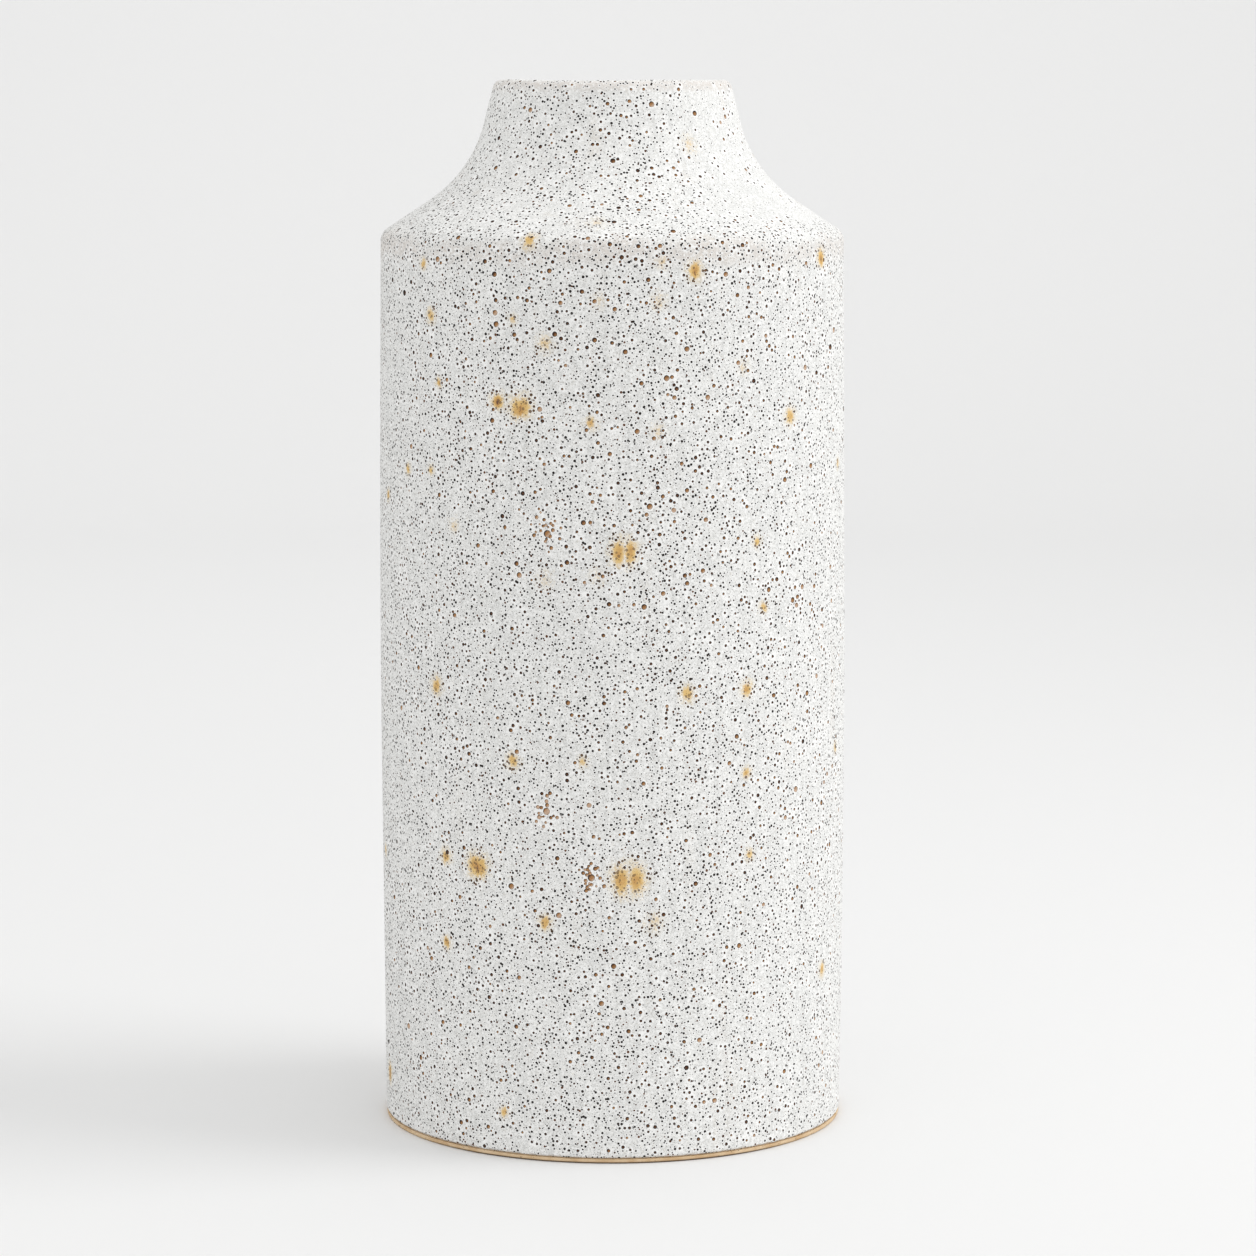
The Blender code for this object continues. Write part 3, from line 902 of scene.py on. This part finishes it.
# Painted highlight: a pale ring on each burst's raised rim.
rim_share = crater.ease(depth_in, 0.0, EDGE - 0.15) * crater.ease(depth_in, EDGE, EDGE - 0.1)
colour = crater.blend(rim_share * 0.9 * (1 - iron_share), colour, RIM_HIGHLIGHT_WHITE)
inside_share = crater.ease(depth_in, EDGE - 0.035, EDGE + 0.035)
colour = crater.blend(inside_share, colour, inside_colour)

# %% Crater glaze: relief and gloss
dents = hair * 0.10 + pin * 0.40
lumps = grain * 0.18 + mottle * 0.20 + stroke_relief_and_shade * 0.30
outside_bursts = 1 - inside_share * 0.8
crater_bump = crater.node("ShaderNodeBump", None, {
    "Strength": 1.0, "Distance": 1 * MM, "Height": (lumps - dents) * outside_bursts})
gloss = 0.78 - iron_share * 0.2 - inside_share * 0.22 + mottle * 0.08
crater.end(Base_Color=colour, Roughness=gloss, Normal=crater_bump)
for stave in staves:
    stave.data.materials.append(crater.material)
    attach(stave, "root")
    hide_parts("outer_glaze")
print("crater glaze has", len(crater.nodes), "nodes")

# %% [markdown]
# ## The bare foot
#
# Glaze would weld the pot to the kiln shelf, so the potter wipes the foot clean. The toasted buff
# clay shows as a thin warm line under the glaze, with a painted contact shadow darkening its lowest
# edge in front and behind. The imported ring has few sides, so a finer ring is turned from the same
# box, with its ledge, its bevels and the drag marks of grog.

# %% Turn the foot ring
TURNS = 360


def spun(outline, sides, roughen=0.0):
    """The points of an outline of (radius, height), spun round with a little unevenness."""
    angles = 2 * math.pi * np.arange(sides) / sides
    radius, height = outline.T
    sway = roughen * (np.sin(17 * angles) + np.sin(43 * angles + 1) + np.sin(101 * angles + 2)) / 3
    radius = radius[None, :] + sway[:, None]
    return np.stack((radius * np.sin(angles)[:, None], -radius * np.cos(angles)[:, None],
                     np.broadcast_to(height, radius.shape)), axis=-1).reshape(-1, 3)


def turned(name, outline, sides=TURNS, roughen=0.0):
    """A closed outline of (radius, height) turned into a ring."""
    points = spun(outline, sides, roughen)
    count = len(outline)
    here = np.arange(sides)[:, None] * count + np.arange(count)[None, :]
    right, over = np.roll(here, -1, axis=0), np.roll(here, -1, axis=1)
    faces = np.stack((here, right, np.roll(right, -1, axis=1), over), axis=-1)
    return add_piece(name, points, faces.reshape(-1, 4).tolist())


FOOT_TOP = foot_high.z
FOOT_WIDTH = 13 * MM
FOOT_CHAMFER = 0.8 * MM
LEDGE = GLAZE_LINE - SLIP
clay_radius = FOOT_RADIUS - CLAY_DEPTH
bare_radius = FOOT_RADIUS - SLIP
inner_radius = clay_radius - FOOT_WIDTH
foot_outline = rounded_path([
    (clay_radius, (FOOT_TOP + LEDGE) / 2, 0.0),
    (clay_radius, FOOT_TOP, 0.15 * MM),
    (inner_radius, FOOT_TOP, 0.15 * MM),
    (inner_radius, foot_low.z, FOOT_CHAMFER),
    (bare_radius, foot_low.z, FOOT_CHAMFER),
    (bare_radius, LEDGE, 0.15 * MM),
    (clay_radius, LEDGE, 0.05 * MM),
    (clay_radius, (FOOT_TOP + LEDGE) / 2 - 0.1 * MM, 0.0),
], 1.2 * MM)
foot = turned("bare_foot_ring", foot_outline[::-1], roughen=0.05 * MM)
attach(foot, "root")
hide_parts("foot_ring")
print("foot ring", len(foot.data.polygons), "faces, box",
      [round(v / MM, 1) for v in foot.dimensions])

# %% Toasted clay
clay = Finish("toasted_clay", Specular_IOR_Level=0.3)
BUFF = (0.76, 0.58, 0.38)
TOAST = (0.62, 0.42, 0.23)
# colour of the painted contact shadow under the foot
CONTACT_SHADOW_DARK = (0.085, 0.050, 0.028)
GROG = (0.24, 0.16, 0.10)
toast = clay.cloud(9 * MM, 4.0)
clay_colour = clay.blend(clay.ease(toast, 0.35, 0.7), BUFF, TOAST)
grog, _, grog_own = clay.scattered(1.3 * MM, 0.10 * MM, 0.34 * MM, 0.06 * MM)
clay_colour = clay.blend(grog * clay.ease(grog_own, 0.2, 0.9, 0.2, 0.9), clay_colour, GROG)
low = clay.node("ShaderNodeSeparateXYZ", None, {"Vector": clay.place}, output="Z")
across = clay.node("ShaderNodeSeparateXYZ", None, {"Vector": clay.place}, output="X")
aside = (across * across) ** 0.5
# Painted contact shadow: the foot's lowest edge is darkened in front and behind, fading towards the
# sides.
painted_shadow_share = clay.ease(low, 0.45 * FOOT_CHAMFER, 1.25 * FOOT_CHAMFER, 0.9, 0.0)
painted_shadow_share = painted_shadow_share * clay.ease(aside, 0.50 * FOOT_RADIUS, 0.92 * FOOT_RADIUS, 1.0, 0.15)
clay_colour = clay.blend(painted_shadow_share, clay_colour, CONTACT_SHADOW_DARK)
drag = clay.cloud(0.5 * MM, 3.0, (0.35, 0.35, 1.0))
clay_bump = clay.node("ShaderNodeBump", None, {
    "Strength": 0.8, "Distance": 0.4 * MM, "Height": drag * 0.6 - grog * 0.5})
clay.end(Base_Color=clay_colour, Roughness=0.82 + drag * 0.12, Normal=clay_bump)
foot.data.materials.append(clay.material)
CLAY_NODES = ("floor_slab", "lower_wall", "upper_wall", "shoulder_ring", "neck_ring", "lip_coil")
for name in CLAY_NODES:
    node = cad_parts[name]
    node.data.materials.clear()
    node.data.materials.append(clay.material)
print("clay on", len(CLAY_NODES), "packed sections and the foot")

# %% [markdown]
# ## The liner
#
# The room inside holds water, so it is lined with a smooth satin glaze that pools round the floor.
# It repeats the outline one wall thickness further in. Seen through the mouth it is a soft,
# slightly darker white, with the ridges left by the potter's fingers.

# %% Turn the liner
POOL = 3 * MM
FINGER_RIDGE = 0.12 * MM
RIDGE_RISE = 9 * MM
body_run = shoulder_edge - np.array((FOOT_RADIUS, GLAZE_LINE))
body_run /= np.linalg.norm(body_run)
inside_edge = crossing(shoulder_edge - WALL * outward(body_run), body_run,
                       shoulder_edge - WALL * outward(shoulder_run), shoulder_run)
inside_waist = crossing(inside_edge, shoulder_run, under_lip - WALL * outward(neck_run), neck_run)
ROOM_FLOOR = liner_low.z + GLAZE
floor_corner = np.array((FOOT_RADIUS - WALL, ROOM_FLOOR))
top_share = (LINER_TOP - inside_waist[1]) / neck_run[1]
liner_top = inside_waist + top_share * neck_run
inner_line = rounded_path([
    (0.5 * MM, ROOM_FLOOR, 0.0),
    (*floor_corner, POOL),
    (*inside_edge, 1.2 * MM),
    (*inside_waist, NECK_SWEEP + WALL),
    (liner_top[0], liner_top[1], 0.0),
], 1.5 * MM)
in_room = np.clip((inner_line[:, 1] - ROOM_FLOOR - POOL) / (SHOULDER_HEIGHT - ROOM_FLOOR), 0, 1)
inner_line[:, 0] += 4 * swell * in_room * (1 - in_room)
ridges = FINGER_RIDGE * np.sin(2 * math.pi * inner_line[:, 1] / RIDGE_RISE)
inner_line[:, 0] -= np.abs(ridges * np.clip(40 * in_room, 0, 1))
sides = 240
room_points = spun(inner_line, sides)
count = len(inner_line)
here = np.arange(sides)[:, None] * count + np.arange(count - 1)[None, :]
right = np.roll(here, -1, axis=0)
room_faces = np.stack((here, here + 1, right + 1, right), axis=-1).reshape(-1, 4).tolist()
room_faces.append((np.arange(sides) * count).tolist())
liner = add_piece("satin_liner", room_points, room_faces)
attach(liner, "root")
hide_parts("liner_glaze")

satin = Finish("satin_liner", Specular_IOR_Level=0.5, Coat_Roughness=0.25)
MILK = (0.70, 0.69, 0.65)
SHADOWED_MILK = (0.60, 0.575, 0.52)
tide = satin.cloud(24 * MM, 3.0, (1.0, 1.0, 0.5))
satin_colour = satin.blend(satin.ease(tide, 0.35, 0.7), MILK, SHADOWED_MILK)
fleck, _, _ = satin.scattered(4.0 * MM, 0.2 * MM, 0.6 * MM, 0.08 * MM)
satin_colour = satin.blend(fleck * 0.8, satin_colour, UMBER)
satin_bump = satin.node("ShaderNodeBump", None, {
    "Strength": 0.6, "Distance": 0.3 * MM, "Height": tide - fleck * 0.6})
satin.end(Base_Color=satin_colour, Roughness=0.34 + tide * 0.14, Normal=satin_bump)
liner.data.materials.append(satin.material)
print("liner", len(liner.data.polygons), "faces, top at", round(liner_top[1] / MM, 1), "mm")

# %% [markdown]
# ## The studio
#
# The vase stands on a pale sheet that sweeps up into the wall behind it, so no corner shows. The
# light is mostly even daylight, which flattens the form and lets the pits do the talking. One
# big soft panel on the right brightens that side and lays a soft shadow to the left, a faint one
# overhead lifts the shoulder, and a third lights only the sweep behind. The sheet is wide enough
# that its edges stay out of sight from every side.

# %% Sweep
SWEEP_START = 2.4                    # behind the vase, where the sheet begins to rise
SWEEP_RADIUS = 1.2
SHEET_FRONT = -60.0
SHEET_TOP = 3.2
SHEET_HALF = 60.0
SHEET_STEP = 0.05
sheet_line = rounded_path([
    (SHEET_FRONT, cad_low.z, 0.0),
    (SWEEP_START + SWEEP_RADIUS, cad_low.z, SWEEP_RADIUS),
    (SWEEP_START + SWEEP_RADIUS, SHEET_TOP, 0.0),
], SHEET_STEP)
sheet_points = [(side, y, z) for y, z in sheet_line for side in (SHEET_HALF, -SHEET_HALF)]
sheet_faces = [(2 * i, 2 * i + 2, 2 * i + 3, 2 * i + 1) for i in range(len(sheet_line) - 1)]
sheet_mesh = bpy.data.meshes.new("paper_sweep")
sheet_mesh.from_pydata(sheet_points, [], sheet_faces)
sheet_mesh.shade_smooth()
sheet = bpy.data.objects.new("paper_sweep", sheet_mesh)
bpy.context.scene.collection.objects.link(sheet)

paper = Finish("pale_paper", Specular_IOR_Level=0.1, Roughness=0.95)
PAPER = (0.84, 0.84, 0.84)
PAPER_FIBRE = (0.828, 0.828, 0.828)
fibres = paper.cloud(3 * MM, 2.0)
paper.end(Base_Color=paper.blend(fibres, PAPER, PAPER_FIBRE))
sheet.data.materials.append(paper.material)
print("sheet faces", len(sheet_mesh.polygons))

# %% Daylight and panels
DAYLIGHT = 0.91
DAYLIGHT_COLOUR = (1.0, 1.0, 0.995, 1.0)
PANEL_POWER = 5.6
PANEL_SIDE = 1.5
PANEL_AWAY = 2.7
PANEL_SPREAD = 80                    # degrees
PANEL_TURN = 85                      # degrees round from the front, to the right
PANEL_UP = 37                        # degrees above the middle of the vase
TOP_HIGH = 2.4
TOP_SIDE = 1.6
TOP_POWER = 0.6
WALL_PANEL = (0.0, 1.0, 2.5)         # behind the vase and above it
WALL_MIDDLE = (0.0, 3.4, 0.7)
WALL_POWER = 6.2
WALL_SPREAD = 120

world = bpy.data.worlds.new("daylight")
world.use_nodes = True
daylight = world.node_tree.nodes["Background"]
daylight.inputs["Color"].default_value = DAYLIGHT_COLOUR
daylight.inputs["Strength"].default_value = DAYLIGHT
bpy.context.scene.world = world


def soft_panel(name, place, look_at, side, power, spread):
    """A soft rectangular light that faces a point."""
    light = bpy.data.lights.new(name, "AREA")
    light.size = side
    light.energy = power
    light.spread = math.radians(spread)
    panel = bpy.data.objects.new(name, light)
    panel.location = place
    panel.rotation_euler = (Vector(look_at) - Vector(place)).to_track_quat("-Z", "Y").to_euler()
    bpy.context.scene.collection.objects.link(panel)
    return panel


turn, rise = math.radians(PANEL_TURN), math.radians(PANEL_UP)
level = math.cos(rise)
panel_way = Vector((math.sin(turn) * level, -math.cos(turn) * level, math.sin(rise)))
vase_middle = Vector((0, 0, HEIGHT / 2))
panel_place = vase_middle + PANEL_AWAY * panel_way
soft_panel("right_panel", panel_place, vase_middle, PANEL_SIDE, PANEL_POWER, PANEL_SPREAD)
soft_panel("top_panel", (0, 0, TOP_HIGH), vase_middle, TOP_SIDE, TOP_POWER, PANEL_SPREAD)
soft_panel("wall_panel", WALL_PANEL, WALL_MIDDLE, TOP_SIDE, WALL_POWER, WALL_SPREAD)
print("panel at", [round(v, 2) for v in panel_place])

# %% [markdown]
# ## The camera
#
# The lens is long and the camera level with the rim, looking slightly down, so the rim is a thin
# line and the upright sides stay nearly parallel. The view transform is Standard: the white glaze
# then keeps the brightness its colour says.

# %% Camera
LENS = 122.1
SENSOR = 36.0
CAMERA_AWAY = 1.8676
CAMERA_ASIDE = 0.0068
CAMERA_DOWN = 7.33                   # degrees
camera_data = bpy.data.cameras.new("camera")
camera_data.lens, camera_data.sensor_width = LENS, SENSOR
camera = bpy.data.objects.new("camera", camera_data)
camera.location = (CAMERA_ASIDE, -CAMERA_AWAY, HEIGHT)
camera.rotation_euler = (math.radians(90 - CAMERA_DOWN), 0, 0)
bpy.context.scene.collection.objects.link(camera)
bpy.context.scene.camera = camera
bpy.context.scene.view_settings.view_transform = "Standard"
print("camera at", [round(v, 3) for v in camera.location])

# %% [markdown]
# ## Bringing the scene up to date
#

# %% Update
bpy.context.view_layer.update()
